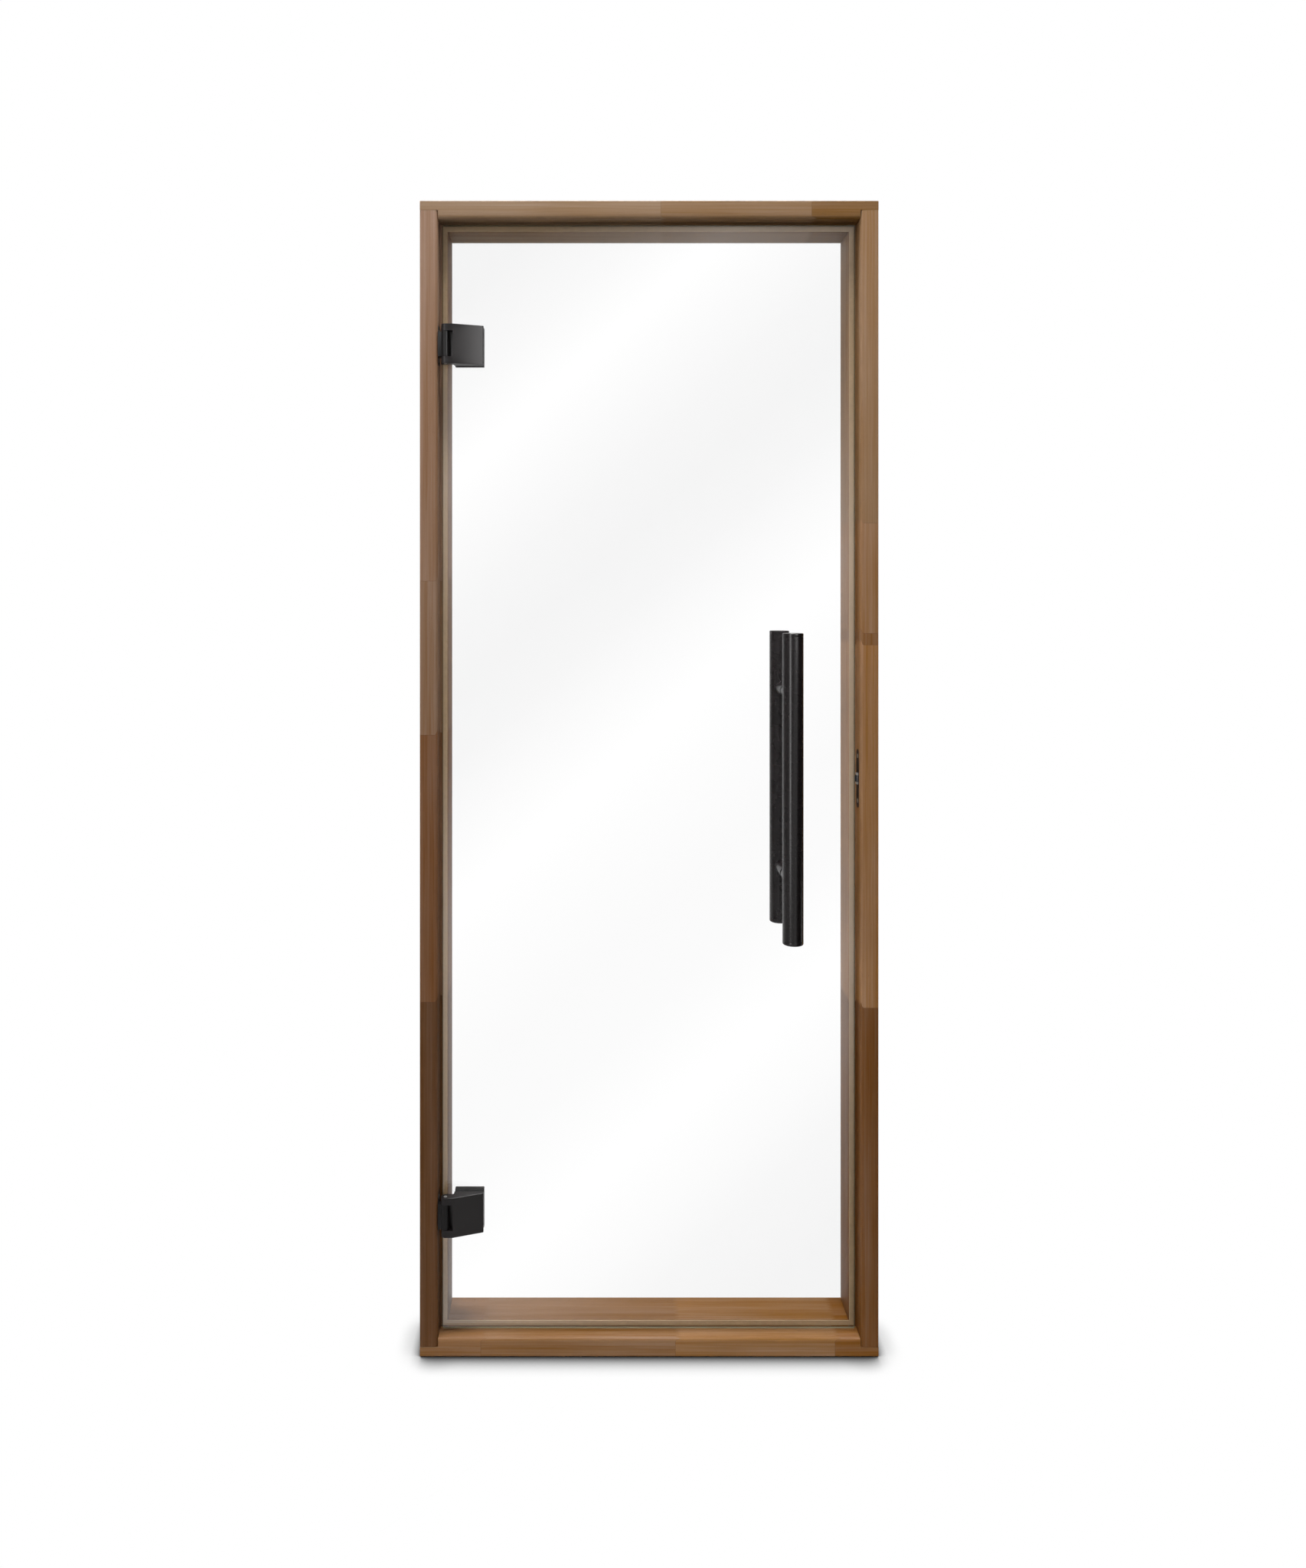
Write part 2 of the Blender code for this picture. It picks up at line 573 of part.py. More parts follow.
stained_wood = principled("stained_wood", (0.23, 0.13, 0.066), 0.5)
toughened_glass = principled("toughened_glass", (0.93, 0.96, 0.95), 0.03, alpha=0.25, transmission=1.0)
dark_metal = principled("dark_metal", (0.028, 0.024, 0.024), 0.42, metallic=0.6)
bright_steel = principled("bright_steel", (0.45, 0.45, 0.44), 0.3, metallic=1.0)
black_rubber = principled("black_rubber", (0.02, 0.02, 0.02), 0.7)
dark_nylon = principled("dark_nylon", (0.12, 0.11, 0.10), 0.45)

left_jamb = add_jamb("left_jamb", -1)
right_jamb = add_jamb("right_jamb", 1)
add_cross_member("sill", (0, 0, 0), 0)
add_cross_member("head", (0, math.pi, 0), FRAME_HEIGHT)

door_leaf = add_pivot("door_leaf", (AXIS_X, AXIS_Y, 0))
pane_low = (-GLASS_WIDTH / 2, -GLASS_HEIGHT / 2)
pane_high = (GLASS_WIDTH / 2, GLASS_HEIGHT / 2)
pane = prism(rectangle(pane_low, pane_high, GLASS_CORNER), -GLASS_THICKNESS / 2, GLASS_THICKNESS / 2, 1)
pane_centre = (0, GLASS_MID_Y, FRAME_HEIGHT / 2)
glass_pane = add("glass_pane", pane, toughened_glass, pane_centre, parent=door_leaf)
chamfer(glass_pane, GLASS_ARRIS)

for hinge_prefix, hinge_height in HINGE_HEIGHTS.items():
    add_hinge(hinge_prefix, hinge_height, door_leaf)
add_handle_side("front", -1, door_leaf)
add_handle_side("rear", 1, door_leaf)
add_studs(door_leaf)
add_catch()
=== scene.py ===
"""Sauna door, dressed: a clear glass leaf on two clamp hinges in a dark, finger-jointed timber frame.

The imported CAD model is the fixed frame. Round pieces are replaced by smooth surfaces worked out on
grids, flat ones by copies with eased edges, and every surface gets its own material. Lengths are in
metres, +Z is up and the door's front faces -Y.
"""

import math

import bmesh
import bpy
import numpy as np
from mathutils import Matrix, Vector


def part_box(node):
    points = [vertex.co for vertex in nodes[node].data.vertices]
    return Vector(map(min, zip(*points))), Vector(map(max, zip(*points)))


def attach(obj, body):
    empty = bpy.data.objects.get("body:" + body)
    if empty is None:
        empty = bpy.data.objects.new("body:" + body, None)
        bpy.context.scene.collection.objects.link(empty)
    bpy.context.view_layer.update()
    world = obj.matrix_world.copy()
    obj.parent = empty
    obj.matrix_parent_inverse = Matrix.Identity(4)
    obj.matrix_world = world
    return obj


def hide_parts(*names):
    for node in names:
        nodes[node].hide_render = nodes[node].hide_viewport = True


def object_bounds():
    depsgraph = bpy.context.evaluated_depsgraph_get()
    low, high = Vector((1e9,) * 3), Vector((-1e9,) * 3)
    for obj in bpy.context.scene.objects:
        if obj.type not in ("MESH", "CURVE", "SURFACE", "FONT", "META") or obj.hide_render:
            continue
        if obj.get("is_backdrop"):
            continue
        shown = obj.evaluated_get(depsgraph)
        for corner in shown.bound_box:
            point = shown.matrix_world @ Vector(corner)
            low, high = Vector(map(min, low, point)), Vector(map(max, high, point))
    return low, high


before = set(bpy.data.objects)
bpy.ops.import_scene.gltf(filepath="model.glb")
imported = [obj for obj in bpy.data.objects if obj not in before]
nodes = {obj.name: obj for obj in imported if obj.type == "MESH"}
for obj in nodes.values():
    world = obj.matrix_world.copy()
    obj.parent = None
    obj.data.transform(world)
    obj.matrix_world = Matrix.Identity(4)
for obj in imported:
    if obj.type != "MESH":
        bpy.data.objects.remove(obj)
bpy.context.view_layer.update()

MM = 0.001


def place_object(name, data):
    """An object for a mesh, a lamp or a camera, put in the scene."""
    made = bpy.data.objects.new(name, data)
    bpy.context.scene.collection.objects.link(made)
    return made


# ---------------------------------------------------------------- colours and shader nodes

WHITE = (1, 1, 1, 1)


def linear(code):
    """The linear colour of an sRGB hex code such as "a07c5a", with alpha 1."""
    shade = np.array([int(code[i:i + 2], 16) for i in (0, 2, 4)]) / 255
    low = shade / 12.92
    high = ((shade + 0.055) / 1.055) ** 2.4
    return (*np.where(shade <= 0.04045, low, high).tolist(), 1.0)


def add(tree, kind, inputs=None, stops=None, **settings):
    """Adds one node. Inputs are values or other nodes' sockets, and stops are a colour ramp's."""
    made = tree.nodes.new(kind)
    for key, value in settings.items():
        setattr(made, key, value)
    for key, value in (inputs or {}).items():
        if isinstance(value, bpy.types.NodeSocket):
            tree.links.new(value, made.inputs[key])
        else:
            made.inputs[key].default_value = value
    if stops:
        ramp = made.color_ramp
        while len(ramp.elements) < len(stops):
            ramp.elements.new(1.0)
        for element, (position, colour) in zip(ramp.elements, stops):
            element.position = position
            element.color = colour
    return made


def new_material(name):
    """A material with only its output node, its tree and that output."""
    made = bpy.data.materials.new(name)
    made.use_nodes = True
    tree = made.node_tree
    tree.nodes.clear()
    return made, tree, add(tree, "ShaderNodeOutputMaterial")


# ---------------------------------------------------------------- timber

FINGER_PITCH = 4 * MM
FINGER_LENGTH = 10 * MM
GLUE_LINE = 0.25 * MM
GLUE_TONE = "2a190e"
GLUE_SHARE = 0.55
FIBRE_WIDTH = 1.3 * MM
FIBRE_LENGTH = 80 * MM
STREAK_WIDTH = 9 * MM
STREAK_LENGTH = 420 * MM
DRIFT_WIDTH = 60 * MM
DRIFT_LENGTH = 260 * MM
RING_SPACING = 5.5 * MM
# How far the drift bends the growth rings, in radians of their sine.
RING_BEND = 7.0
PORE_WIDTH = 0.5 * MM
PORE_LENGTH = 7 * MM
PORE_TONE = "2e1c10"
PORE_SHARE = 0.35
# The noise level at which a pore starts, and at which it is at its darkest.
PORE_START = 0.66
PORE_FULL = 0.78
# A tone's brightness is this, plus each layer times its share. The noises are about 0.5, so it is about 1.
PLAIN_SHARE = 0.34
STREAK_SHARE = 0.62
DRIFT_SHARE = 0.34
FIBRE_SHARE = 0.36
RING_SHARE = 0.028
# How far the noise of one stave lies from that of the stave before it.
STAVE_STEP = 1.7
OIL_ROUGHNESS = (0.44, 0.66)
FIBRE_RELIEF = 0.08 * MM
# What a pore adds to the relief, against 1 for a fibre.
PORE_DEPTH = -1.5


def finger_jointed_timber(name, upright, first_tone, staves, seed):
    """Heat-treated alder, planed, finger-jointed from short staves and oiled.

    The eye sees staves that change tone at fine comb joints, soft streaks along the grain, faint
    growth rings and tiny dark pores, under a low satin. Staves lists each next stave's start and
    tone; besides the staves' own tones these hold painted shade, darker towards a jamb's foot. Grain
    runs along Z when upright, otherwise along X.
    """
    material, tree, output = new_material(name)
    place = add(tree, "ShaderNodeTexCoord").outputs["Object"]
    axes = add(tree, "ShaderNodeSeparateXYZ", {0: place})
    along = axes.outputs["Z" if upright else "X"]
    across = axes.outputs["X" if upright else "Z"]
    depth = axes.outputs["Y"]

    # Comb joints: the length swings back and forth by a finger's length over the depth.
    comb = add(tree, "ShaderNodeMath", {0: depth, 1: FINGER_PITCH / 2}, operation="PINGPONG").outputs[0]
    swing = FINGER_LENGTH / (FINGER_PITCH / 2)
    jointed = add(
        tree, "ShaderNodeMath", {0: comb, 1: swing, 2: along}, operation="MULTIPLY_ADD"
    ).outputs[0]

    tone = linear(first_tone)
    stave = seed
    glue = 0.0
    for start, next_tone in staves:
        past = add(tree, "ShaderNodeMath", {0: jointed, 1: start}, operation="GREATER_THAN").outputs[0]
        tone = add(
            tree, "ShaderNodeMix", {0: past, 6: tone, 7: linear(next_tone)}, data_type="RGBA"
        ).outputs[2]
        stave = add(
            tree, "ShaderNodeMath", {0: past, 1: STAVE_STEP, 2: stave}, operation="MULTIPLY_ADD"
        ).outputs[0]
        line = add(
            tree, "ShaderNodeMath", {0: jointed, 1: start, 2: GLUE_LINE}, operation="COMPARE"
        ).outputs[0]
        glue = add(tree, "ShaderNodeMath", {0: glue, 1: line}, operation="MAXIMUM").outputs[0]

    grain = add(tree, "ShaderNodeCombineXYZ", {0: across, 1: depth, 2: along}).outputs[0]

    def grain_layer(width, length, detail, rough):
        """One layer of the grain: noise drawn out along it, another pattern for each stave."""
        size = (1 / width, 1 / width, 1 / length)
        stretched = add(tree, "ShaderNodeMapping", {"Vector": grain, "Scale": size}, vector_type="POINT")
        made = add(
            tree,
            "ShaderNodeTexNoise",
            {"Vector": stretched.outputs[0], "W": stave, "Scale": 1.0, "Detail": detail, "Roughness": rough},
            noise_dimensions="4D",
        )
        return made.outputs[0]

    fibre = grain_layer(FIBRE_WIDTH, FIBRE_LENGTH, 3.0, 0.6)
    streak = grain_layer(STREAK_WIDTH, STREAK_LENGTH, 3.0, 0.55)
    drift = grain_layer(DRIFT_WIDTH, DRIFT_LENGTH, 1.0, 0.5)
    pores = grain_layer(PORE_WIDTH, PORE_LENGTH, 1.0, 0.5)

    # Growth rings: a sine over the width, bent by slow noise so that it runs in long flames.
    bend = add(tree, "ShaderNodeMath", {0: drift, 1: RING_BEND}, operation="MULTIPLY").outputs[0]
    turns = 2 * math.pi / RING_SPACING
    rings = add(
        tree, "ShaderNodeMath", {0: across, 1: turns, 2: bend}, operation="MULTIPLY_ADD"
    ).outputs[0]
    rings = add(tree, "ShaderNodeMath", {0: rings}, operation="SINE").outputs[0]

    shade = PLAIN_SHARE
    layers = ((streak, STREAK_SHARE), (drift, DRIFT_SHARE), (fibre, FIBRE_SHARE), (rings, RING_SHARE))
    for layer, share in layers:
        shade = add(
            tree, "ShaderNodeMath", {0: layer, 1: share, 2: shade}, operation="MULTIPLY_ADD"
        ).outputs[0]
    # A darker place is fuller in colour: its saturation is 2 less its brightness.
    fuller = add(tree, "ShaderNodeMath", {0: 2.0, 1: shade}, operation="SUBTRACT").outputs[0]
    toned = add(
        tree, "ShaderNodeHueSaturation", {"Saturation": fuller, "Value": shade, "Color": tone}
    ).outputs[0]
    pits = add(
        tree,
        "ShaderNodeMapRange",
        {"Value": pores, "From Min": PORE_START, "From Max": PORE_FULL, "To Min": 0.0, "To Max": PORE_SHARE},
    ).outputs[0]
    toned = add(
        tree, "ShaderNodeMix", {0: pits, 6: toned, 7: linear(PORE_TONE)}, data_type="RGBA"
    ).outputs[2]
    seam = add(tree, "ShaderNodeMath", {0: glue, 1: GLUE_SHARE}, operation="MULTIPLY").outputs[0]
    toned = add(
        tree, "ShaderNodeMix", {0: seam, 6: toned, 7: linear(GLUE_TONE)}, data_type="RGBA"
    ).outputs[2]

    satin = add(
        tree, "ShaderNodeMapRange", {"Value": fibre, "To Min": OIL_ROUGHNESS[0], "To Max": OIL_ROUGHNESS[1]}
    ).outputs[0]
    relief = add(
        tree, "ShaderNodeMath", {0: pits, 1: PORE_DEPTH, 2: fibre}, operation="MULTIPLY_ADD"
    ).outputs[0]
    bump = add(tree, "ShaderNodeBump", {"Strength": 0.6, "Distance": FIBRE_RELIEF, "Height": relief})
    shader = add(
        tree,
        "ShaderNodeBsdfPrincipled",
        {"Base Color": toned, "Roughness": satin, "Normal": bump.outputs[0], "Specular IOR Level": 0.2},
    )
    tree.links.new(shader.outputs[0], output.inputs["Surface"])
    return material


# ---------------------------------------------------------------- glass, metal and rubber

GROUND_EDGE = 0.72 * MM
EDGE_GRIT = 0.3 * MM
# Fingers and cloths leave patches of gloss about 26 mm wide on the coated metal.
HANDLING_PATCH = 1 / 38
# The zinc's film changes over about 4 mm, and the tool's marks under it lie about 0.4 mm apart.
ZINC_FILM = 1 / 260
TOOL_MARK = 1 / 2600
TOOL_RELIEF = 0.02 * MM
# Moulded rubber blooms in patches of about 8 mm.
BLOOM = 1 / 120
MOULD_RELIEF = 0.03 * MM


def clear_toughened_glass(low, high):
    """Toughened soda-lime float glass, its edges ground matt and arrissed.

    It lets white through with a trace of grey and mirrors what stands before it. The ground band along
    its edges is a dull olive, as such an edge looks with the pane's green behind it: a point is in the
    band where its distance from the pane's middle, in X or in Z, is over half the pane's size less the
    band's width. Low and high are the pane's corners, in metres.
    """
    material, tree, output = new_material("clear_toughened_float_glass")
    place = add(tree, "ShaderNodeTexCoord").outputs["Object"]
    axes = add(tree, "ShaderNodeSeparateXYZ", {0: place})
    ground = 0.0
    for axis in (0, 2):
        middle = (low[axis] + high[axis]) / 2
        reach = (high[axis] - low[axis]) / 2 - GROUND_EDGE
        off = add(
            tree, "ShaderNodeMath", {0: axes.outputs[axis], 1: middle}, operation="SUBTRACT"
        ).outputs[0]
        off = add(tree, "ShaderNodeMath", {0: off}, operation="ABSOLUTE").outputs[0]
        past = add(tree, "ShaderNodeMath", {0: off, 1: reach}, operation="GREATER_THAN").outputs[0]
        ground = add(tree, "ShaderNodeMath", {0: ground, 1: past}, operation="MAXIMUM").outputs[0]
    grit = add(
        tree, "ShaderNodeTexNoise", {"Vector": place, "Scale": 1 / EDGE_GRIT, "Detail": 2.0}
    ).outputs[0]
    edge = add(
        tree, "ShaderNodeMix", {0: grit, 6: linear("4a4537"), 7: linear("655d4a")}, data_type="RGBA"
    ).outputs[2]
    matt = add(tree, "ShaderNodeBsdfDiffuse", {"Color": edge})
    clear = add(
        tree,
        "ShaderNodeBsdfPrincipled",
        {"Base Color": WHITE, "Roughness": 0.0, "IOR": 1.52, "Transmission Weight": 1.0},
    )
    shader = add(tree, "ShaderNodeMixShader", {0: ground, 1: clear.outputs[0], 2: matt.outputs[0]})
    # Through the 8 mm of the pane this takes about 1 percent.
    inside = add(tree, "ShaderNodeVolumeAbsorption", {"Color": linear("dadbdb"), "Density": 4.0})
    tree.links.new(shader.outputs[0], output.inputs["Surface"])
    tree.links.new(inside.outputs[0], output.inputs["Volume"])
    return material


def coated_metal(name, deep, pale, rough, grit, shine, peel_depth):
    """Steel under a black coat. Fine grit gives a faint orange peel, and handling patches of gloss."""
    material, tree, output = new_material(name)
    place = add(tree, "ShaderNodeTexCoord").outputs["Object"]
    peel = add(tree, "ShaderNodeTexNoise", {"Vector": place, "Scale": 1 / grit, "Detail": 2.0}).outputs[0]
    patch = add(
        tree, "ShaderNodeTexNoise", {"Vector": place, "Scale": 1 / HANDLING_PATCH, "Detail": 3.0}
    ).outputs[0]
    tone = add(
        tree, "ShaderNodeMix", {0: patch, 6: linear(deep), 7: linear(pale)}, data_type="RGBA"
    ).outputs[2]
    gloss = add(
        tree,
        "ShaderNodeMapRange",
        {"Value": patch, "From Min": 0.3, "From Max": 0.7, "To Min": rough - 0.03, "To Max": rough + 0.03},
    ).outputs[0]
    bump = add(tree, "ShaderNodeBump", {"Strength": 0.25, "Distance": peel_depth, "Height": peel})
    shader = add(
        tree,
        "ShaderNodeBsdfPrincipled",
        {"Base Color": tone, "Roughness": gloss, "Normal": bump.outputs[0], "Specular IOR Level": shine},
    )
    tree.links.new(shader.outputs[0], output.inputs["Surface"])
    return material


def zinc_plated_steel():
    """Bright zinc over turned steel: fine marks of the tool, and a dulled, faintly blue film."""
    material, tree, output = new_material("zinc_plated_steel")
    place = add(tree, "ShaderNodeTexCoord").outputs["Object"]
    film = add(
        tree, "ShaderNodeTexNoise", {"Vector": place, "Scale": 1 / ZINC_FILM, "Detail": 4.0}
    ).outputs[0]
    tone = add(
        tree, "ShaderNodeMix", {0: film, 6: linear("9c9fa3"), 7: linear("c9c8c2")}, data_type="RGBA"
    ).outputs[2]
    dull = add(tree, "ShaderNodeMapRange", {"Value": film, "To Min": 0.22, "To Max": 0.42}).outputs[0]
    fine = add(
        tree, "ShaderNodeTexNoise", {"Vector": place, "Scale": 1 / TOOL_MARK, "Detail": 1.0}
    ).outputs[0]
    bump = add(tree, "ShaderNodeBump", {"Strength": 0.2, "Distance": TOOL_RELIEF, "Height": fine})
    shader = add(
        tree,
        "ShaderNodeBsdfPrincipled",
        {"Base Color": tone, "Metallic": 1.0, "Roughness": dull, "Normal": bump.outputs[0]},
    )
    tree.links.new(shader.outputs[0], output.inputs["Surface"])
    return material


def moulded_polymer(name, deep, pale, rough, grit):
    """Moulded rubber, silicone or acetal: matt, with a fine grit and a little bloom."""
    material, tree, output = new_material(name)
    place = add(tree, "ShaderNodeTexCoord").outputs["Object"]
    bloom = add(tree, "ShaderNodeTexNoise", {"Vector": place, "Scale": 1 / BLOOM, "Detail": 3.0}).outputs[0]
    tone = add(
        tree, "ShaderNodeMix", {0: bloom, 6: linear(deep), 7: linear(pale)}, data_type="RGBA"
    ).outputs[2]
    skin = add(tree, "ShaderNodeTexNoise", {"Vector": place, "Scale": 1 / grit, "Detail": 1.0}).outputs[0]
    dull = add(
        tree, "ShaderNodeMapRange", {"Value": skin, "To Min": rough - 0.08, "To Max": rough + 0.08}
    ).outputs[0]
    bump = add(tree, "ShaderNodeBump", {"Strength": 0.3, "Distance": MOULD_RELIEF, "Height": skin})
    shader = add(
        tree,
        "ShaderNodeBsdfPrincipled",
        {"Base Color": tone, "Roughness": dull, "Normal": bump.outputs[0]},
    )
    tree.links.new(shader.outputs[0], output.inputs["Surface"])
    return material


glass = clear_toughened_glass(*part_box("glass_pane"))
# The hinges' bodies: powder coat baked on steel, a near-black satin that takes a soft sheen.
hinge_coat = coated_metal(
    "black_powder_coated_hinge_steel", "0f0c0c", "161212",
    rough=0.36, grit=0.7 * MM, shine=0.22, peel_depth=0.01 * MM,
)
# Flanges and face plate: black oxide, darker and duller than the hinge coat, so the eye sees little more
# than their edges; the extra darkness is painted shade for the rebate they sit in.
oxide_and_shade_coat = coated_metal(
    "black_oxide_hinge_steel_painted_shade", "0d0c0c", "141212",
    rough=0.42, grit=0.5 * MM, shine=0.15, peel_depth=0.01 * MM,
)
# The tubes: powder coat over a drawn tube, smoother, so it shows narrow light lines along its length.
tube_coat = coated_metal(
    "black_powder_coated_steel_tube", "131010", "181415",
    rough=0.27, grit=0.6 * MM, shine=0.32, peel_depth=0.002 * MM,
)
zinc = zinc_plated_steel()
# Gaskets and washers: moulded rubber, dead matt. Roller: moulded acetal, worn a little smoother.
rubber = moulded_polymer("black_epdm_rubber", "161616", "242424", rough=0.72, grit=0.4 * MM)
acetal = moulded_polymer("black_acetal_roller", "1d1b1c", "2a2828", rough=0.42, grit=0.5 * MM)
# The stop's seal: extruded silicone, the colour of pale wood, softly shining.
pale_silicone = moulded_polymer("pale_silicone_seal", "887154", "9d8464", rough=0.5, grit=0.6 * MM)

# ---------------------------------------------------------------- surfaces

# Points closer than this are one.
SAME_POINT = 1e-7
# Any direction that no piece's axis has, to find the first spoke from.
ASIDE = (0.31, 0.87, 0.38)
# Edges that turn by more than this stay sharp in the shading, on new surfaces and on copies.
SURFACE_CREASE = math.radians(40)
COPY_CREASE = math.radians(35)
# Doubles in a CAD node's loose triangles, and the flattest bend that isn't dissolved.
DOUBLES = 0.002 * MM
FLAT = math.radians(0.5)


def unit(v):
    """v over its length, for each row."""
    return v / np.linalg.norm(v, axis=-1, keepdims=True)


def eased(corners, reach, steps=6, closed=False):
    """A line of (radius, height) corners, each rounded off by a parabola.

    Round corner P the points are (1-s)^2 A + 2 s (1-s) P + s^2 B for s from 0 to 1, where A and B lie
    its own reach before and after P. Reach is one length for each corner.
    """
    p = np.asarray(corners, float)
    reach = np.broadcast_to(np.asarray(reach, float), len(p)).copy()
    before = unit(np.roll(p, 1, axis=0) - p)
    after = unit(np.roll(p, -1, axis=0) - p)
    if not closed:
        reach[[0, -1]] = 0
    start = p + before * reach[:, None]
    end = p + after * reach[:, None]
    s = np.linspace(0, 1, steps + 1)[None, :, None]
    bent = (1 - s) ** 2 * start[:, None] + 2 * s * (1 - s) * p[:, None] + s ** 2 * end[:, None]
    line = bent.reshape(-1, 2)
    gap = np.linalg.norm(np.diff(line, axis=0, prepend=line[-1:] + 1), axis=1)
    return line[gap > SAME_POINT]


def outward(mesh):
    """Turns the faces of a closed mesh outward."""
    shape = bmesh.new()
    shape.from_mesh(mesh)
    bmesh.ops.recalc_face_normals(shape, faces=shape.faces)
    shape.to_mesh(mesh)
    shape.free()


def smooth(mesh, crease):
    """Shades a mesh smooth but for the edges that turn by more than the crease."""
    mesh.polygons.foreach_set("use_smooth", np.ones(len(mesh.polygons), bool))
    mesh.set_sharp_from_angle(angle=crease)


def surface(name, grid, poles=None):
    """A closed mesh from a grid of points: rows of rings, each ring closed on itself.

    Without poles the last row joins the first, as on a torus. Otherwise a pole closes each end, and
    the ring nearest to it is joined to it by a fan.
    """
    rows, columns = grid.shape[:2]
    count = rows * columns
    index = np.arange(count).reshape(rows, columns)
    upper = np.roll(index, -1, axis=0) if poles is None else index[1:]
    lower = index if poles is None else index[:-1]
    quads = np.stack([lower, np.roll(lower, -1, axis=1), np.roll(upper, -1, axis=1), upper], axis=-1)
    faces = quads.reshape(-1, 4).tolist()
    points = grid.reshape(-1, 3)
    if poles is not None:
        points = np.vstack([points, poles])
        low, high = index[0], index[-1]
        faces += np.stack([np.full(columns, count), np.roll(low, -1), low], axis=-1).tolist()
        faces += np.stack([np.full(columns, count + 1), high, np.roll(high, -1)], axis=-1).tolist()
    mesh = bpy.data.meshes.new(name)
    mesh.from_pydata(points.tolist(), [], faces)
    mesh.validate()
    outward(mesh)
    smooth(mesh, SURFACE_CREASE)
    return place_object(name, mesh)


def turned(name, profile, centre, axis, closed=False, sides=96):
    """A turned piece: the profile's (radius, height) carried round its axis.

    Each point is centre + height * axis + radius * (cos a * u + sin a * v), where u and v are square
    to the axis. An open profile starts and ends on the axis, where it gets a pole.
    """
    axis = unit(np.asarray(axis, float))
    u = unit(np.cross(axis, ASIDE))
    v = np.cross(axis, u)
    a = np.linspace(0, 2 * math.pi, sides, endpoint=False)
    spoke = np.cos(a)[:, None] * u + np.sin(a)[:, None] * v
    centre = np.asarray(centre, float)
    rows = profile if closed else profile[1:-1]
    grid = centre + rows[:, 1, None, None] * axis + rows[:, 0, None, None] * spoke[None]
    return surface(name, grid, None if closed else centre + profile[[0, -1], 1][:, None] * axis)


def finish_piece(piece, node, body, material):
    """Gives a piece its material, and has it stand for a CAD node and move with a body."""
    piece.data.materials.clear()
    piece.data.materials.append(material)
    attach(piece, body)
    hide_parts(node)


def eased_copy(node, width, body, material):
    """A copy of a CAD node whose doubles are merged, whose edges are eased and whose curves are smooth."""
    mesh = nodes[node].data.copy()
    mesh.name = node + "_eased"
    shape = bmesh.new()
    shape.from_mesh(mesh)
    bmesh.ops.remove_doubles(shape, verts=shape.verts, dist=DOUBLES)
    bmesh.ops.dissolve_limit(shape, angle_limit=FLAT, verts=shape.verts, edges=shape.edges)
    shape.to_mesh(mesh)
    shape.free()
    smooth(mesh, COPY_CREASE)
    made = place_object(node + "_eased", mesh)
    bevel = made.modifiers.new("eased edges", "BEVEL")
    bevel.width = width
    bevel.segments = 2
    bevel.limit_method = "ANGLE"
    bevel.angle_limit = COPY_CREASE
    bevel.harden_normals = True
    bevel.use_clamp_overlap = True
    finish_piece(made, node, body, material)


def keep_node(node, material):
    """Gives its material to a CAD node that shows as it is."""
    nodes[node].data.materials.clear()
    nodes[node].data.materials.append(material)


# ---------------------------------------------------------------- timber frame and glass

# For each member: whether it stands, its first stave's tone, then where each next stave starts along it,
# in metres, and that stave's tone, and the seed of its grain. Besides the staves' own tones, the tones
# hold painted shade: the jambs' lowest staves are the darkest, where less light falls.
MEMBERS = {
    "left_jamb": (True, "503216", [(0.62, "644329"), (1.08, "725742"), (1.345, "7a5f4c")], 1.3),
    "right_jamb": (
        True, "643f1b", [(0.61, "88623f"), (1.235, "735236"), (1.255, "7c5a3b"), (1.445, "795c40")], 4.9
    ),
    "head": (False, "775f47", [(0.03, "705539"), (0.29, "62441f")], 9.1),
    "sill": (False, "725030", [(-0.28, "725234"), (0.055, "7a5734"), (0.33, "6f471b")], 13.7),
}
TIMBER_EASE = 0.5 * MM
REBATE_DEPTH = 32 * MM
# The seal lies on the stop, between these two distances outside the opening.
SEAL_NEAR = 0.9 * MM
SEAL_FAR = 9.4 * MM
SEAL_THICKNESS = 1.6 * MM
SEAL_EASE = 0.5 * MM


def stop_seal(material):
    """The pale silicone strip that the pane closes towards, run round the stop and mitred in its corners.

    Its section is a flat strip with eased edges. A point of it that lies d outside the opening is
    carried to each corner of the opening grown by d on every side.
    """
    low_x, high_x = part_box("left_jamb")[1][0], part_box("right_jamb")[0][0]
    low_z, high_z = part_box("sill")[1][2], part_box("head")[0][2]
    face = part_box("left_jamb")[0][1] + REBATE_DEPTH
    strip = [(SEAL_NEAR, 0), (SEAL_FAR, 0), (SEAL_FAR, -SEAL_THICKNESS), (SEAL_NEAR, -SEAL_THICKNESS)]
    section = eased(strip, SEAL_EASE, closed=True)
    d, depth = section[:, 0], section[:, 1]
    corners = [(low_x, low_z, -1, -1), (high_x, low_z, 1, -1), (high_x, high_z, 1, 1), (low_x, high_z, -1, 1)]
    grid = np.stack(
        [np.stack([x + sx * d, face + depth, z + sz * d], axis=-1) for x, z, sx, sz in corners]
    )
    seal = surface("stop_seal", grid)
    seal.data.materials.append(material)
    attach(seal, "frame")


for node, (upright, first_tone, staves, seed) in MEMBERS.items():
    timber = finger_jointed_timber("oiled_heat_treated_alder_" + node, upright, first_tone, staves, seed)
    eased_copy(node, TIMBER_EASE, "frame", timber)

stop_seal(pale_silicone)

keep_node("glass_pane", glass)
# The lamps' light goes straight through the pane to what is behind it.
nodes["glass_pane"].visible_shadow = False

# ---------------------------------------------------------------- hinges and catch

